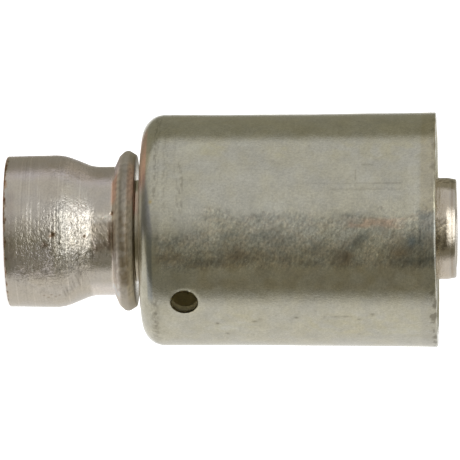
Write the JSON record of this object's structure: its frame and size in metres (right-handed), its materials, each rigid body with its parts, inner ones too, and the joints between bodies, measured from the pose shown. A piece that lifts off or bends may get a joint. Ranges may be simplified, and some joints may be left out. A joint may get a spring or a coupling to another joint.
{
  "type": "weld-on beadlock fitting",
  "caption": "Weld-on hose fitting: tube socket, taper and neck with a round bead, barbed hose nipple, and a drawn crimp shell with a sight hole.",
  "frame": {"origin": "centre of the weld socket's end face, on which the part stands", "axes": "+Z along the fitting's axis from the weld socket to the hose nipple; -Y towards the sight hole in the shell"},
  "size_m": [0.0288, 0.0288, 0.0554],
  "materials": {
    "stem_steel": "turned, bright, with tool marks and small pits",
    "shell_steel": "satin plated, slightly blotched and scratched"
  },
  "bodies": {
    "root": {"stem": "stem_steel", "shell": "shell_steel"}
  },
  "joints": []
}
